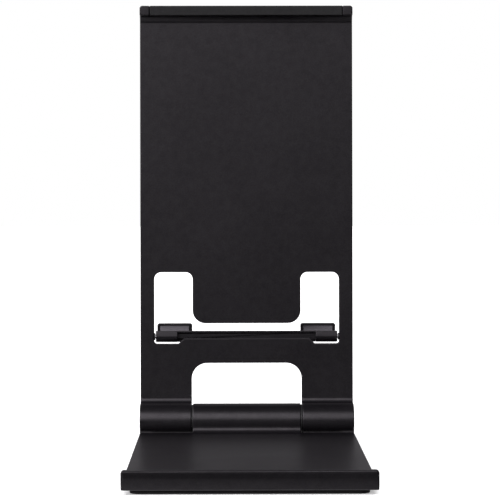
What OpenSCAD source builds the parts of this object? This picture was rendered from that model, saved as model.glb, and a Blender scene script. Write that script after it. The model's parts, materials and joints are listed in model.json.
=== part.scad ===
// Folding phone stand: a base plate, a back panel on a friction hinge, and a
// phone cradle that swings out of two windows in the panel.
// X is the width, +Y points to the side where the phone stands, Z is up.
// The origin is the centre of the foot pad's underside.

/* [Overall] */
// Width of the base plate and of the back panel
body_w = 75; // [62:0.5:92]
// Length of the folded stand, from the barrel to the free edges
folded_l = 151.5; // [126:0.5:182]
// Thickness of both plates
plate_t = 1.8; // [1.5:0.1:2.4]
// Angle between the base plate and the back panel
open_angle = 92; // [80:0.5:110]

/* [Hinge] */
// Outer diameter of the hinge barrel
barrel_d = 11.6; // [9.6:0.1:13.9]
// Width of the middle cut-out, which the base's knuckle sits in
arch_w = 38.8; // [32:0.2:46]
// Gap between two neighbouring knuckles
knuckle_gap = 0.5; // [0.4:0.05:0.8]
// Radius of the fillet where a plate runs into its knuckle
hinge_fillet = 2; // [1.2:0.1:2.6]
// Diameter of the hinge shafts
shaft_d = 5; // [4.2:0.1:6]
// Length of shaft inside the middle knuckle
shaft_grip = 14.8; // [12:0.2:17]
// Bore of the middle knuckle, which holds the friction clips
clip_bore_d = 7.2; // [6.2:0.1:8.6]
// Number of friction clips on each shaft
clip_count = 5; // [3:1:6]
// Depth of the seat for an end cap
cap_depth = 1.6; // [1.2:0.1:2]
// Diameter of the set screws
set_screw_d = 3; // [2.5:0.1:3.4]

/* [Base plate] */
// Height of the front lip above the plate
lip_h = 4.15; // [3:0.05:4.2]
// Thickness of the front lip at its top
lip_t = 3.4; // [2.6:0.1:4.2]
// Radius of the fillet behind the front lip
lip_fillet = 2.4; // [1.5:0.1:2.8]
// Radius of the outer face at the free edges of the base plate and the panel
nose_r = 9; // [7:0.5:16]
// Radius of the corners at the free edges
corner_r = 0.9; // [0.5:0.1:2]
// Thickness of the foot pad
foot_t = 1.3; // [1:0.1:1.6]
// Distance from the edge of the base plate to the foot pad
foot_inset = 2.4; // [1.5:0.1:4]
// Distance from the lip's front to the foot pad
foot_setback = 3.5; // [3:0.1:8]

/* [Back panel] */
// Height of the arch for the cable, above the hinge axis
arch_h = 19.8; // [16:0.1:23]
// Radius of the arch's upper corners
arch_r = 5.5; // [4:0.1:7]
// Width of the rails beside the windows
rail_w = 4.85; // [4:0.05:6]
// Width of each window
window_w = 13.6; // [12.6:0.1:16]
// Radius of the windows' upper corners
window_r = 2.5; // [1.5:0.1:4]
// Radius of the tongue's lower corners
tongue_r = 4.5; // [3:0.1:6]
// How far the top flange stands out from the panel
flange_out = 3.45; // [3:0.05:3.5]
// Height of the top flange's front face
flange_h = 3.4; // [3:0.1:4.5]
// Radius of the fillet under the top flange
flange_fillet = 2.5; // [1.5:0.1:3]
// Thickness of the bumper strip in the flange
strip_t = 0.8; // [0.6:0.1:1.2]
// Bare flange at each end of the bumper strip
strip_end = 3.5; // [2.5:0.1:6]
// Width of the backrest pad
backrest_w = 60; // [40:1:61]
// Height of the backrest pad
backrest_h = 70; // [50:1:84]
// Thickness of the backrest pad
backrest_t = 0.8; // [0.5:0.1:1.2]

/* [Phone cradle] */
// Height of the cradle's axis above the hinge axis
cradle_h = 29.15; // [28.5:0.05:34]
// Distance from the cradle's axis to the tip of its hooks
hook_reach = 20; // [16:0.2:24]
// Height of the hooks' lips above the cradle's axis
hook_lip_h = 4.25; // [3.4:0.05:5.2]
// Thickness of the hooks
hook_t = 1.8; // [1.5:0.1:2]
// Radius of the upper corners of the hooks' lips
hook_corner_r = 0.8; // [0.4:0.1:1.2]
// Diameter of the barrels at the cradle's ends
cradle_barrel_d = 3.9; // [3.4:0.1:4.1]
// Diameter of the cradle's pivot pins
cradle_pin_d = 1.2; // [1:0.05:1.4]
// Thickness of the pads on the hooks
hook_pad_t = 0.8; // [0.6:0.1:1]

/* [Hidden] */
$fn = 64;

// An end of a cut that runs past the face it opens
past = 1;
far = 2 * folded_l;

// Hinge
barrel_r = barrel_d / 2;
axis_to_face = barrel_r - plate_t;
plate_l = folded_l - barrel_r;
half_w = body_w / 2;
arch_hw = arch_w / 2;
knuckle_hw = arch_hw - knuckle_gap;
hinge_z = foot_t + barrel_r;
notch_clear = 0.6;
// How far an arc bites into the face or arc beside it, so that they cross
bite = 0.002;
notch_y = sqrt(pow(barrel_r, 2) - pow(axis_to_face, 2)) + notch_clear;
shaft_r = shaft_d / 2;
run_clear = 0.03;
fit_clear = 0.01;
shaft_end_x = half_w - cap_depth - 1.4;
clip_bore_r = clip_bore_d / 2;
clip_r = clip_bore_r - 0.08;
key_w = 1.6;
key_depth = 0.9;
key_clear = 0.1;
bush_flange_t = knuckle_gap - 0.1;
bush_flange_r = barrel_r - 0.45;
bush_l = 2;
clip_clear = 0.1;
clip_run = shaft_grip - bush_l - 1;
clip_pitch = clip_run / clip_count;
cap_r = barrel_r - 1.5;
cap_seat_clear = 0.02;
screw_r = set_screw_d / 2;
screw_x = (arch_hw + shaft_end_x) / 2;
screw_flat = 0.4;

// Base plate
lip_top = -axis_to_face + lip_h;
foot_front = plate_l - foot_setback;
foot_back = axis_to_face + 0.35;
foot_l = foot_front - foot_back;
hinge_y = (foot_front + foot_back) / 2;
foot_corner_r = 3;

// Back panel
window_out = half_w - rail_w;
tongue_hw = window_out - window_w;
pin_y = axis_to_face + plate_t / 2;
window_clear = 2.75;
window_top = cradle_h + hook_reach + window_clear;
tongue_bottom = cradle_h + 4.7;
sill_top = cradle_h - 0.55;
pocket_clear = 0.5;
pocket_bottom = cradle_h - cradle_barrel_d / 2 - pocket_clear;
pocket_r = 1;
sill_hw = tongue_hw + 3.05;
sill_foot_hw = sill_hw + 1.95;
strip_hw = half_w - strip_end;
strip_clear = 0.1;
backrest_bottom = window_top + 10;
backrest_corner_r = 5;

// Phone cradle, drawn about its own axis
cradle_r = cradle_barrel_d / 2;
barrel_in = sill_foot_hw + 0.35;
barrel_out = window_out - 0.7;
bar_y = plate_t / 2 + 0.35;
bar_t = 1.8;
bar_r = 0.5;
hook_in = tongue_hw + 0.5;
hook_out = window_out - 0.5;
hook_tip_r = 1.6;
pin_in = barrel_in + 3.6;
pin_recess = 0.15;
washer_t = 0.4;
washer_r = 1.25;
pad_in = hook_in + 1.1;
pad_out = hook_out - 1.1;
pad_start = bar_y + bar_t + 0.3;
pad_fillet = 1.5;
pad_lip_drop = 1;

// Colours
anodised = [0.06, 0.06, 0.065];
silicone = [0.09, 0.09, 0.095];
grey_silicone = [0.35, 0.34, 0.36];
steel = [0.62, 0.63, 0.65];
nylon = [0.14, 0.14, 0.15];

// ---- Shared shapes ----

// An outline in Y and Z, drawn along X between two distances
module along_x(x0, x1) {
    translate([x0, 0, 0]) rotate([90, 0, 90]) linear_extrude(height = x1 - x0) children();
}

// An outline in X and Z, drawn along Y between two distances
module along_y(y0, y1) {
    translate([0, y1, 0]) rotate([90, 0, 0]) linear_extrude(height = y1 - y0) children();
}

// A round rod along X between two distances
module rod_x(x0, x1, r) {
    translate([x0, 0, 0]) rotate([0, 90, 0]) cylinder(h = x1 - x0, r = r);
}

// A rectangle with one radius at its lower corners and one at its upper
module rounded_rect(x0, x1, y0, y1, r_low, r_high) {
    translate([x0, y0 + r_low]) square([x1 - x0, y1 - y0 - r_low - r_high]);
    translate([x0 + r_low, y0]) square([x1 - x0 - 2 * r_low, r_low]);
    translate([x0 + r_high, y1 - r_high]) square([x1 - x0 - 2 * r_high, r_high]);
    for (x = [x0 + r_low, x1 - r_low]) translate([x, y0 + r_low]) circle(r_low);
    for (x = [x0 + r_high, x1 - r_high]) translate([x, y1 - r_high]) circle(r_high);
}

// A rectangle with round upper corners and sharp lower ones
module arched_rect(x0, x1, y0, y1, r) {
    translate([x0, y0]) square([x1 - x0, y1 - y0 - r]);
    translate([x0 + r, y0]) square([x1 - x0 - 2 * r, y1 - y0]);
    for (x = [x0 + r, x1 - r]) translate([x, y1 - r]) circle(r);
}

// The material of a concave fillet in the corner at the origin, in +x and +y
module inner_fillet(r) {
    difference() {
        square(r);
        translate([r, r]) circle(r);
    }
}

// A plate that runs to -y from the barrel it is tangent to
module leaf_profile() {
    reach = barrel_r + hinge_fillet - bite;
    rise = axis_to_face - hinge_fillet;
    run = sqrt(pow(reach, 2) - pow(rise, 2));
    translate([-plate_l, -barrel_r]) square([plate_l, plate_t]);
    circle(barrel_r);
    difference() {
        polygon([[0, 0], [-run, -rise], [-run, -axis_to_face], [0, -axis_to_face]]);
        translate([-run, -rise]) circle(hinge_fillet);
    }
}

// What is cut off a leaf's free edge, so that its outer face is an arc
module nose_cut() {
    difference() {
        translate([-plate_l - past, -barrel_r - past]) square([past + nose_r / 3, barrel_d + 2 * past]);
        translate([-plate_l + nose_r + bite, lip_top - corner_r]) circle(nose_r, $fn = 128);
    }
}

// Puts a part of the base side in place
module at_hinge() {
    translate([0, hinge_y, hinge_z]) children();
}

// Puts a part of the panel side in place, at its angle to the base
module on_panel() {
    at_hinge() rotate([90 - open_angle, 0, 0]) children();
}

// Puts a part of the cradle in place, from its own axis
module on_cradle() {
    on_panel() translate([0, pin_y, cradle_h]) children();
}

// The same part on the left or on the right
module sided(side) {
    mirror([side < 0 ? 1 : 0, 0, 0]) children();
}

// ---- Base side ----

// Section of the base plate, with its front lip and the fillet behind the lip
module base_profile() {
    difference() {
        union() {
            leaf_profile();
            translate([-plate_l, -barrel_r]) square([lip_t, lip_top + barrel_r]);
            translate([-plate_l + lip_t, -axis_to_face]) inner_fillet(lip_fillet);
        }
        nose_cut();
    }
}

// Plan of the base plate: round front corners, and notches at the side knuckles
module base_plan() {
    difference() {
        mirror([0, 1]) arched_rect(-half_w, half_w, -barrel_r - past, plate_l, corner_r);
        for (side = [-1, 1]) mirror([side < 0 ? 1 : 0, 0])
            translate([knuckle_hw, -notch_y]) square([far, far]);
    }
}

module base_plate() {
    color(anodised) at_hinge() difference() {
        intersection() {
            along_x(-half_w, half_w) base_profile();
            translate([0, 0, -far / 2]) linear_extrude(height = far) base_plan();
        }
        // Round upper corners of the lip
        translate([0, -plate_l + lip_t + past, 0]) mirror([0, 1, 0]) along_y(0, far) difference() {
            translate([-half_w - past, lip_top - corner_r]) square([body_w + 2 * past, corner_r + past]);
            arched_rect(-half_w, half_w, -far, lip_top, corner_r);
        }
        // Beside the middle knuckle there is only the plate
        for (side = [-1, 1]) sided(side)
            translate([knuckle_hw, -barrel_r - hinge_fillet - past, -axis_to_face]) cube(far);
        rod_x(-far / 2, far / 2, clip_bore_r);
        translate([-far / 2, -clip_bore_r - key_depth, -key_w / 2]) cube([far, clip_bore_r + key_depth, key_w]);
    }
}

module base_foot_pad() {
    half = half_w - foot_inset;
    color(silicone) linear_extrude(height = foot_t)
        rounded_rect(-half, half, -foot_l / 2, foot_l / 2, foot_corner_r, foot_corner_r);
}

// Plain bearing with a flange that fills the gap between two knuckles
module flange_bush(side) {
    color(nylon) at_hinge() sided(side) difference() {
        union() {
            rod_x(knuckle_hw, knuckle_hw + bush_flange_t, bush_flange_r);
            rod_x(knuckle_hw - bush_l, knuckle_hw, clip_bore_r - fit_clear);
        }
        rod_x(0, half_w, shaft_r + run_clear);
    }
}

module flange_bush_left() {
    flange_bush(-1);
}

module flange_bush_right() {
    flange_bush(1);
}

// Split spring rings that grip the shaft, each keyed to the middle knuckle
module friction_clips(side) {
    first = knuckle_hw - bush_l - clip_run;
    color(steel) at_hinge() sided(side) for (i = [0 : clip_count - 1])
        along_x(first + i * clip_pitch, first + (i + 1) * clip_pitch - clip_clear) difference() {
            union() {
                circle(clip_r);
                translate([-clip_bore_r - key_depth + key_clear, -key_w / 2 + key_clear])
                    square([clip_bore_r, key_w - 2 * key_clear]);
            }
            circle(shaft_r + run_clear);
            translate([0, -0.5]) square([far, 1]);
        }
}

module friction_clips_left() {
    friction_clips(-1);
}

module friction_clips_right() {
    friction_clips(1);
}

// ---- Panel side ----

// Section of the panel, with its top flange and the fillet under the flange
module panel_profile() {
    difference() {
        union() {
            mirror([1, 1]) leaf_profile();
            translate([axis_to_face - flange_out, plate_l - flange_h])
                square([flange_out + plate_t / 2, flange_h]);
            translate([axis_to_face, plate_l - flange_h]) rotate(180) inner_fillet(flange_fillet);
        }
        mirror([1, 1]) nose_cut();
    }
}

// The windows beside and under the tongue
module window_cut() {
    difference() {
        rounded_rect(-window_out, window_out, pocket_bottom, window_top, pocket_r, window_r);
        rounded_rect(-tongue_hw, tongue_hw, tongue_bottom, far, tongue_r, tongue_r);
        for (side = [0, 1]) mirror([side, 0])
            translate([tongue_hw, window_top]) mirror([0, 1]) inner_fillet(window_r);
        polygon([
            [-sill_foot_hw, pocket_bottom - past], [-sill_foot_hw, pocket_bottom],
            [-sill_hw, sill_top], [sill_hw, sill_top],
            [sill_foot_hw, pocket_bottom], [sill_foot_hw, pocket_bottom - past]
        ]);
    }
}

module back_panel() {
    color(anodised) on_panel() difference() {
        intersection() {
            along_x(-half_w, half_w) panel_profile();
            along_y(-far / 2, far / 2)
                arched_rect(-half_w, half_w, -barrel_r - past, plate_l, corner_r);
        }
        along_y(-far / 2, far / 2) {
            arched_rect(-arch_hw, arch_hw, -far, arch_h, arch_r);
            window_cut();
        }
        // Rebate for the bumper strip
        translate([-strip_hw, axis_to_face - flange_out - past, plate_l - flange_h - past])
            cube([2 * strip_hw, strip_t + past, flange_h + 2 * past]);
        for (side = [-1, 1]) sided(side) {
            rod_x(arch_hw - past, half_w - past, shaft_r + fit_clear);
            rod_x(half_w - cap_depth, half_w + past, cap_r + cap_seat_clear);
            translate([screw_x, 0, -barrel_r - past]) cylinder(h = barrel_r + past, r = screw_r + fit_clear);
            translate([0, pin_y, cradle_h]) rod_x(window_out - past, half_w + past, cradle_pin_d / 2 + fit_clear);
        }
    }
}

module top_bumper_strip() {
    color(silicone) on_panel()
        translate([-strip_hw + strip_clear, axis_to_face - flange_out, plate_l - flange_h])
            cube([2 * (strip_hw - strip_clear), strip_t, flange_h]);
}

module backrest_pad() {
    half = backrest_w / 2;
    top = backrest_bottom + backrest_h;
    color(silicone) on_panel() along_y(barrel_r, barrel_r + backrest_t)
        rounded_rect(-half, half, backrest_bottom, top, backrest_corner_r, backrest_corner_r);
}

// Steel shaft with a flat for its set screw
module hinge_shaft(side) {
    flat_l = set_screw_d + 3;
    color(steel) on_panel() sided(side) difference() {
        rod_x(knuckle_hw - shaft_grip, shaft_end_x, shaft_r);
        translate([screw_x - flat_l / 2, -shaft_r, -shaft_r - past])
            cube([flat_l, shaft_d, past + screw_flat]);
    }
}

module hinge_shaft_left() {
    hinge_shaft(-1);
}

module hinge_shaft_right() {
    hinge_shaft(1);
}

// Grub screws that hold the shafts in the side knuckles
module hinge_set_screws() {
    sunk = 0.45;
    hex_d = set_screw_d * 0.58;
    color(steel) on_panel() for (side = [-1, 1]) sided(side)
        translate([screw_x, 0, -barrel_r + sunk]) difference() {
            cylinder(h = barrel_r - sunk - shaft_r + screw_flat, r = screw_r);
            translate([0, 0, -past]) cylinder(h = past + 1.2, d = hex_d, $fn = 6);
        }
}

// Cap with a plug, which closes the outer end of a side knuckle
module hinge_end_cap(side) {
    color(nylon) on_panel() sided(side) {
        rod_x(half_w - cap_depth, half_w, cap_r);
        rod_x(half_w - cap_depth - 1.2, half_w - cap_depth, shaft_r - 0.1);
    }
}

module hinge_end_cap_left() {
    hinge_end_cap(-1);
}

module hinge_end_cap_right() {
    hinge_end_cap(1);
}

module cradle_pin(side) {
    color(steel) on_cradle() sided(side) rod_x(pin_in, half_w - pin_recess, cradle_pin_d / 2);
}

module cradle_pin_left() {
    cradle_pin(-1);
}

module cradle_pin_right() {
    cradle_pin(1);
}

module cradle_washer(side) {
    color(nylon) on_cradle() sided(side) difference() {
        rod_x(window_out - washer_t, window_out, washer_r);
        rod_x(window_out - past, window_out + past, cradle_pin_d / 2 + run_clear);
    }
}

module cradle_washer_left() {
    cradle_washer(-1);
}

module cradle_washer_right() {
    cradle_washer(1);
}

// ---- Cradle ----

// Section of a pivot barrel, with a flat upper front that leans back a little
module barrel_profile() {
    circle(cradle_r);
    polygon([[0, 0], [-cradle_r, 0], [-cradle_r + 0.2, cradle_r], [0, cradle_r]]);
}

// Section of the crossbar behind the panel
module bar_profile() {
    translate([bar_y, -cradle_r]) square([bar_t - bar_r, cradle_barrel_d]);
    translate([bar_y, -cradle_r + bar_r]) square([bar_t, cradle_barrel_d - 2 * bar_r]);
    for (z = [-cradle_r + bar_r, cradle_r - bar_r]) translate([bar_y + bar_t - bar_r, z]) circle(bar_r);
}

// Section of a hook: a flat leg and a lip that turns up at its tip
module hook_profile(start) {
    difference() {
        union() {
            translate([start, -hook_t / 2]) square([hook_reach - start, hook_t]);
            translate([hook_reach - hook_t, -hook_t / 2]) square([hook_t, hook_lip_h + hook_t / 2]);
        }
        translate([hook_reach, -hook_t / 2]) mirror([1, 0]) inner_fillet(hook_tip_r);
    }
}

module phone_cradle() {
    color(anodised) on_cradle() difference() {
        union() {
            along_x(-hook_out, hook_out) bar_profile();
            for (side = [-1, 1]) sided(side) {
                along_x(barrel_in, barrel_out) barrel_profile();
                intersection() {
                    union() {
                        along_x(hook_in, barrel_in) hook_profile(bar_y);
                        along_x(barrel_in, hook_out) hook_profile(0);
                    }
                    along_y(-past, far) arched_rect(hook_in, hook_out, -far, hook_lip_h, hook_corner_r);
                }
            }
        }
        for (side = [-1, 1]) sided(side)
            rod_x(pin_in - 0.4, barrel_out + past, cradle_pin_d / 2 + run_clear);
    }
}

// Soft pad that lines a hook's leg and the inside of its lip
module hook_pad(side) {
    lip_face = hook_reach - hook_t;
    floor_z = hook_t / 2;
    color(grey_silicone) on_cradle() sided(side) along_x(pad_in, pad_out) {
        translate([pad_start, floor_z]) square([lip_face - pad_start, hook_pad_t]);
        translate([lip_face - hook_pad_t, floor_z])
            square([hook_pad_t, hook_lip_h - pad_lip_drop - floor_z]);
        translate([lip_face - hook_pad_t, floor_z + hook_pad_t]) mirror([1, 0]) inner_fillet(pad_fillet);
    }
}

module hook_pad_left() {
    hook_pad(-1);
}

module hook_pad_right() {
    hook_pad(1);
}

base_plate();
base_foot_pad();
flange_bush_left();
flange_bush_right();
friction_clips_left();
friction_clips_right();
back_panel();
top_bumper_strip();
backrest_pad();
hinge_shaft_left();
hinge_shaft_right();
hinge_set_screws();
hinge_end_cap_left();
hinge_end_cap_right();
cradle_pin_left();
cradle_pin_right();
cradle_washer_left();
cradle_washer_right();
phone_cradle();
hook_pad_left();
hook_pad_right();
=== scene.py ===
import json
import math

import bmesh
import bpy
from mathutils import Matrix, Vector


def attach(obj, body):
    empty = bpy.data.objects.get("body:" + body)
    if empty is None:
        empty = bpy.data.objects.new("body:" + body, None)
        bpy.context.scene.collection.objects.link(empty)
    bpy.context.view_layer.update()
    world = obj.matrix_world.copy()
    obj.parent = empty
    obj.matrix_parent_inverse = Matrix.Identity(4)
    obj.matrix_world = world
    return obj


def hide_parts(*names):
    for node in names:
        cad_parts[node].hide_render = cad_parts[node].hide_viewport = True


MM = 0.001
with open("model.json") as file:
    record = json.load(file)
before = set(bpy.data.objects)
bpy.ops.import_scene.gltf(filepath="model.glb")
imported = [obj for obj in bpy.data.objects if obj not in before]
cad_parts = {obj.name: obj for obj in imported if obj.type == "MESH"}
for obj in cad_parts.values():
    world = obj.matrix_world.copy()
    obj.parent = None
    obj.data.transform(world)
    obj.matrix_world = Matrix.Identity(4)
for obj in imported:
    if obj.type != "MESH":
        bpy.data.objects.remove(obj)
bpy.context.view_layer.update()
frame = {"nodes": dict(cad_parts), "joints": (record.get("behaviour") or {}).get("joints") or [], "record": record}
nodes = frame["nodes"]
joints = {j["name"]: j for j in frame["joints"]}
hinge = Vector(joints["panel_fold"]["pos_m"])
pivot = Vector(joints["cradle_fold"]["pos_m"])
scene = bpy.context.scene


# ---- Materials ----

class Graph:
    """Short names for the nodes of one material or of the world."""

    def __init__(self, tree):
        self.tree = tree
        tree.nodes.clear()

    def add(self, kind, **inputs):
        n = self.tree.nodes.new(kind)
        for k, v in inputs.items():
            n.inputs[k.replace("_", " ")].default_value = v
        return n

    def link(self, a, b):
        self.tree.links.new(a, b)

    def ramp(self, factor, stops, interpolation="LINEAR"):
        n = self.tree.nodes.new("ShaderNodeValToRGB")
        r = n.color_ramp
        r.interpolation = interpolation
        while len(r.elements) > 1:
            r.elements.remove(r.elements[-1])
        r.elements[0].position = stops[0][0]
        r.elements[0].color = (*stops[0][1], 1)
        for at, colour in stops[1:]:
            r.elements.new(at).color = (*colour, 1)
        self.link(factor, n.inputs["Fac"])
        return n.outputs["Color"]

    def span(self, value, lo, hi, out_lo, out_hi):
        n = self.tree.nodes.new("ShaderNodeMapRange")
        for i, v in zip((1, 2, 3, 4), (lo, hi, out_lo, out_hi)):
            n.inputs[i].default_value = v
        self.link(value, n.inputs[0])
        return n.outputs[0]

    def noise(self, where, scale, detail=2.0, roughness=0.5):
        n = self.add("ShaderNodeTexNoise", Scale=scale, Detail=detail, Roughness=roughness)
        self.link(where, n.inputs["Vector"])
        return n.outputs["Fac"]

    def math(self, op, a, b):
        n = self.tree.nodes.new("ShaderNodeMath")
        n.operation = op
        for i, v in enumerate((a, b)):
            if isinstance(v, (int, float)):
                n.inputs[i].default_value = v
            else:
                self.link(v, n.inputs[i])
        return n.outputs[0]


def material(name, tint, tint_2, rough, rough_2, grain, depth, metallic=0.0, ior=1.5, stretch=(1, 1, 1),
             gloss_tint=(1, 1, 1)):
    """A surface with a fine grain in its bump, and slow changes in colour, roughness and gloss."""
    m = bpy.data.materials.new(name)
    m.use_nodes = True
    g = Graph(m.node_tree)
    out = g.add("ShaderNodeOutputMaterial")
    shader = g.add("ShaderNodeBsdfPrincipled", Metallic=metallic, IOR=ior)
    shader.inputs["Specular Tint"].default_value = (*gloss_tint, 1)
    g.link(shader.outputs[0], out.inputs["Surface"])
    place = g.add("ShaderNodeTexCoord").outputs["Object"]
    if stretch != (1, 1, 1):
        mapping = g.add("ShaderNodeMapping")
        mapping.inputs["Scale"].default_value = stretch
        g.link(place, mapping.inputs["Vector"])
        fine_place = mapping.outputs[0]
    else:
        fine_place = place
    slow = g.noise(place, 38.0, 3.0, 0.6)
    fine = g.noise(fine_place, grain, 2.0, 0.55)
    g.link(g.ramp(g.math("ADD", g.math("MULTIPLY", slow, 0.6), g.math("MULTIPLY", fine, 0.4)),
                  [(0.3, tint), (0.7, tint_2)]), shader.inputs["Base Color"])
    g.link(g.span(g.math("ADD", g.math("MULTIPLY", slow, 0.7), g.math("MULTIPLY", fine, 0.3)),
                  0.3, 0.7, rough, rough_2), shader.inputs["Roughness"])
    blotch = g.math("ADD", g.math("MULTIPLY", g.noise(place, 420.0, 2.0, 0.5), 0.5),
                    g.math("MULTIPLY", g.noise(place, 2300.0, 1.0, 0.5), 0.5))
    g.link(g.span(blotch, 0.35, 0.65, 0.43, 0.57), shader.inputs["Specular IOR Level"])
    bump = g.add("ShaderNodeBump", Strength=1.0, Distance=depth)
    g.link(fine, bump.inputs["Height"])
    g.link(bump.outputs[0], shader.inputs["Normal"])
    return m


MATERIALS = {
    "anodised": material("anodised", (0.0022, 0.0019, 0.0026), (0.0034, 0.0030, 0.0038),
                         0.285, 0.335, 5200.0, 2.4e-6, gloss_tint=(0.99, 0.945, 0.985)),
    "silicone": material("silicone", (0.0036, 0.0036, 0.0039), (0.0052, 0.0052, 0.0055),
                         0.52, 0.62, 3800.0, 5.0e-6, ior=1.40),
    "grey_silicone": material("grey_silicone", (0.078, 0.073, 0.082), (0.104, 0.097, 0.108),
                              0.46, 0.56, 3800.0, 5.0e-6, ior=1.43),
    "nylon": material("nylon", (0.0090, 0.0090, 0.0095), (0.0130, 0.0130, 0.0135),
                      0.42, 0.52, 2600.0, 4.0e-6, ior=1.53),
    "steel": material("steel", (0.50, 0.50, 0.51), (0.60, 0.60, 0.61),
                      0.22, 0.32, 3000.0, 2.0e-6, metallic=1.0, stretch=(0.08, 1, 1)),
    "blackened_steel": material("blackened_steel", (0.030, 0.030, 0.034), (0.050, 0.049, 0.052),
                                0.34, 0.46, 4200.0, 3.0e-6, metallic=1.0),
}


# ---- Pieces ----

# An outer edge that turns by more than this is rounded
SHARP_EDGE = math.radians(28)
# An edge that turns by more than this after rounding is shaded as a crease
CREASE = math.radians(35)
# What lies nearer to the hinge's or the cradle's axis than this is part of a bore
HINGE_BORES = 4.9 * MM
CRADLE_BORES = 0.75 * MM
# The base plate's notches under the side knuckles: outside this half width, and this near to the hinge
NOTCH_HALF_WIDTH = 19.5 * MM
NOTCH_REACH = 6.8 * MM

body_of = {n: b for b, names in frame["record"]["behaviour"]["bodies"].items() for n in names}
slot_of = {s["node"]: s["material_slot"] for s in frame["record"]["subparts"]}


def solid(node):
    """The CAD node as one welded mesh of whole faces."""
    bm = bmesh.new()
    bm.from_mesh(nodes[node].data)
    bm.transform(nodes[node].matrix_world)
    bmesh.ops.remove_doubles(bm, verts=bm.verts, dist=2e-6)
    bmesh.ops.dissolve_limit(bm, angle_limit=math.radians(0.4), verts=bm.verts, edges=bm.edges)
    bmesh.ops.recalc_face_normals(bm, faces=bm.faces)
    return bm


def soften(bm, width, segments=3, keep=None):
    """Rounds the sharp outer edges, apart from those that keep(middle) names."""
    edges = []
    for e in bm.edges:
        if len(e.link_faces) != 2 or e.calc_face_angle_signed() < SHARP_EDGE:
            continue
        if keep and keep((e.verts[0].co + e.verts[1].co) / 2):
            continue
        edges.append(e)
    bmesh.ops.bevel(bm, geom=edges, offset=width, offset_type="OFFSET", segments=segments,
                    profile=0.5, affect="EDGES", clamp_overlap=False, loop_slide=True)
    bmesh.ops.remove_doubles(bm, verts=bm.verts, dist=1e-6)
    bmesh.ops.recalc_face_normals(bm, faces=bm.faces)


def piece(bm, name, node):
    """Puts the mesh in the scene in place of the CAD node."""
    mesh = bpy.data.meshes.new(name)
    bm.to_mesh(mesh)
    bm.free()
    for p in mesh.polygons:
        p.use_smooth = True
    mesh.set_sharp_from_angle(angle=CREASE)
    obj = bpy.data.objects.new(name, mesh)
    scene.collection.objects.link(obj)
    obj.data.materials.append(MATERIALS[slot_of[node]])
    even = obj.modifiers.new("even_normals", "WEIGHTED_NORMAL")
    even.keep_sharp = True
    even.weight = 80
    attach(obj, body_of[node])
    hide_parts(node)


def off_axis(p, axis):
    """Distance of a point from the line along X through a joint."""
    return math.hypot(p.y - axis.y, p.z - axis.z)


def bore_of(p):
    """Edges of the hinge's and the cradle's bores, which stay crisp."""
    return off_axis(p, hinge) < HINGE_BORES or off_axis(p, pivot) < CRADLE_BORES


def bore_or_notch(p):
    """The base plate's bores, and the notches' edges under the side knuckles."""
    return bore_of(p) or (abs(p.x) > NOTCH_HALF_WIDTH and off_axis(p, hinge) < NOTCH_REACH)


def round_off(node, name, width_mm, segments=3, keep=None):
    """The CAD node with rounded edges, as a piece of its own."""
    bm = solid(node)
    soften(bm, width_mm * MM, segments, keep)
    piece(bm, name, node)


round_off("base_plate", "base_plate_finished", 0.38, keep=bore_or_notch)
round_off("back_panel", "back_panel_finished", 0.38, keep=bore_of)
round_off("phone_cradle", "phone_cradle_finished", 0.22, keep=bore_of)
round_off("base_foot_pad", "base_foot_pad_moulded", 0.35)
round_off("top_bumper_strip", "top_bumper_strip_moulded", 0.25)
round_off("backrest_pad", "backrest_pad_moulded", 0.45, segments=4)
for side in ("left", "right"):
    round_off("hook_pad_" + side, "hook_pad_moulded_" + side, 0.2)
    round_off("hinge_end_cap_" + side, "hinge_end_cap_moulded_" + side, 0.25)

# The pieces inside the hinge and the pivots keep their CAD shapes
for name, obj in nodes.items():
    if obj.hide_render:
        continue
    obj.data.materials.clear()
    obj.data.materials.append(MATERIALS[slot_of[name]])


# ---- Stage ----

FLOOR_HALF_SIZE = 4.0
# The floor lies a hair below the foot pad, so that the two never share a plane
FLOOR_DROP = 0.05 * MM

bm = bmesh.new()
bmesh.ops.create_grid(bm, x_segments=1, y_segments=1, size=FLOOR_HALF_SIZE)
floor_mesh = bpy.data.meshes.new("floor")
bm.to_mesh(floor_mesh)
bm.free()
floor = bpy.data.objects.new("floor", floor_mesh)
scene.collection.objects.link(floor)
floor.location.z = -FLOOR_DROP
# White paper that glows a little, as on a light table, which keeps the shadow faint
paper = bpy.data.materials.new("floor_paper")
paper.use_nodes = True
g = Graph(paper.node_tree)
out = g.add("ShaderNodeOutputMaterial")
shader = g.add("ShaderNodeBsdfDiffuse", Color=(0.8, 0.8, 0.8, 1))
glow = g.add("ShaderNodeEmission", Color=(1, 1, 1, 1), Strength=0.4)
both = g.add("ShaderNodeAddShader")
g.link(shader.outputs[0], both.inputs[0])
g.link(glow.outputs[0], both.inputs[1])
g.link(both.outputs[0], out.inputs["Surface"])
floor.data.materials.append(paper)
floor.visible_glossy = False

# Very soft light from above, for the floor
lamp = bpy.data.lights.new("overhead", "SUN")
lamp.energy = 3.1
lamp.angle = math.radians(110)
overhead = bpy.data.objects.new("overhead", lamp)
scene.collection.objects.link(overhead)
overhead.visible_glossy = False
overhead.visible_camera = False

# The studio round the object: a large softbox in front and a dim wall behind. The camera sees plain white instead.
world = bpy.data.worlds.new("studio")
scene.world = world
world.use_nodes = True
g = Graph(world.node_tree)
way = g.add("ShaderNodeTexCoord").outputs["Generated"]
split = g.add("ShaderNodeSeparateXYZ")
g.link(way, split.inputs[0])
height = g.span(split.outputs["Z"], -1, 1, 0, 1)


def rise(degrees):
    """Place on the height ramps of a direction at that angle above the horizon."""
    return (math.sin(math.radians(degrees)) + 1) / 2


def cast(v):
    """That brightness, with the studio's slight violet cast."""
    return (v * 1.005, v * 0.97, v * 1.02)


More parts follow.
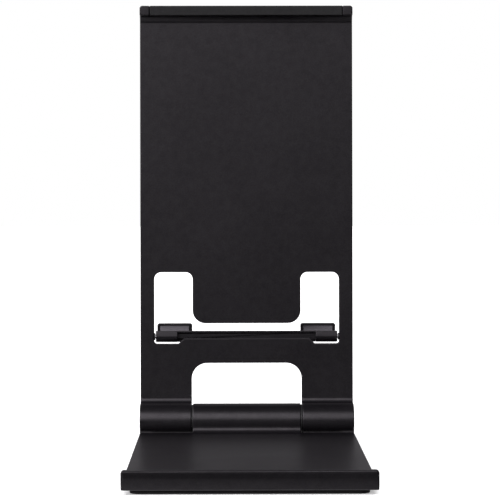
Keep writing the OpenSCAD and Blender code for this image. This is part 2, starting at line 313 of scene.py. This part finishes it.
def wall(stops):
    """Brightness by the angle above the horizon, in degrees."""
    return g.ramp(height, [(rise(at), cast(v)) for at, v in stops])


front = wall([(-90, 0.8), (-80, 0.5), (-60, 0.5), (-33, 0.38), (-22, 0.1), (-10, 0.0), (-3, 0.01),
              (5, 0.25), (10, 0.62), (15, 1.3), (20, 2.0), (46, 2.1), (57, 0.5), (66, 0.12), (90, 0.1)])
back = wall([(-90, 0.7), (-60, 0.5), (-25, 0.4), (-4, 0.12), (2, 0.19), (25, 0.24), (50, 0.24), (90, 0.14)])
mix = g.tree.nodes.new("ShaderNodeMix")
mix.data_type = "RGBA"
g.link(g.span(split.outputs["Y"], -0.25, 0.25, 0, 1), mix.inputs["Factor"])
# The front is brighter on the left than on the right
sides = g.tree.nodes.new("ShaderNodeVectorMath")
sides.operation = "SCALE"
g.link(front, sides.inputs[0])
g.link(g.span(split.outputs["X"], -0.25, 0.25, 1.75, 0.2), sides.inputs["Scale"])
g.link(sides.outputs[0], mix.inputs["A"])
g.link(back, mix.inputs["B"])
lit = g.add("ShaderNodeBackground", Strength=1.0)
g.link(mix.outputs["Result"], lit.inputs["Color"])
plain = g.add("ShaderNodeBackground", Color=(1, 1, 1, 1), Strength=1.0)
choose = g.add("ShaderNodeMixShader")
g.link(g.add("ShaderNodeLightPath").outputs["Is Camera Ray"], choose.inputs["Fac"])
g.link(lit.outputs[0], choose.inputs[1])
g.link(plain.outputs[0], choose.inputs[2])
out = g.add("ShaderNodeOutputWorld")
g.link(choose.outputs[0], out.inputs["Surface"])

scene.view_settings.view_transform = "Standard"
scene.view_settings.look = "None"

# ---- Camera ----

data = bpy.data.cameras.new("camera")
data.sensor_width = 36.0
data.lens = 167.64
data.clip_start = 0.01
data.clip_end = 20.0
camera = bpy.data.objects.new("camera", data)
scene.collection.objects.link(camera)
# Place of the camera from the hinge, and how it turns from looking straight along +Y
STAND_OFF = Vector((-4.96, -816.12, 83.51)) * MM
yaw, pitch, roll = (math.radians(v) for v in (-0.432, -1.671, -0.100))
turn = (Matrix.Rotation(yaw, 4, "Z") @ Matrix.Rotation(math.pi / 2 + pitch, 4, "X")
        @ Matrix.Rotation(roll, 4, "Z"))
camera.matrix_world = Matrix.Translation(hinge + STAND_OFF) @ turn
scene.camera = camera
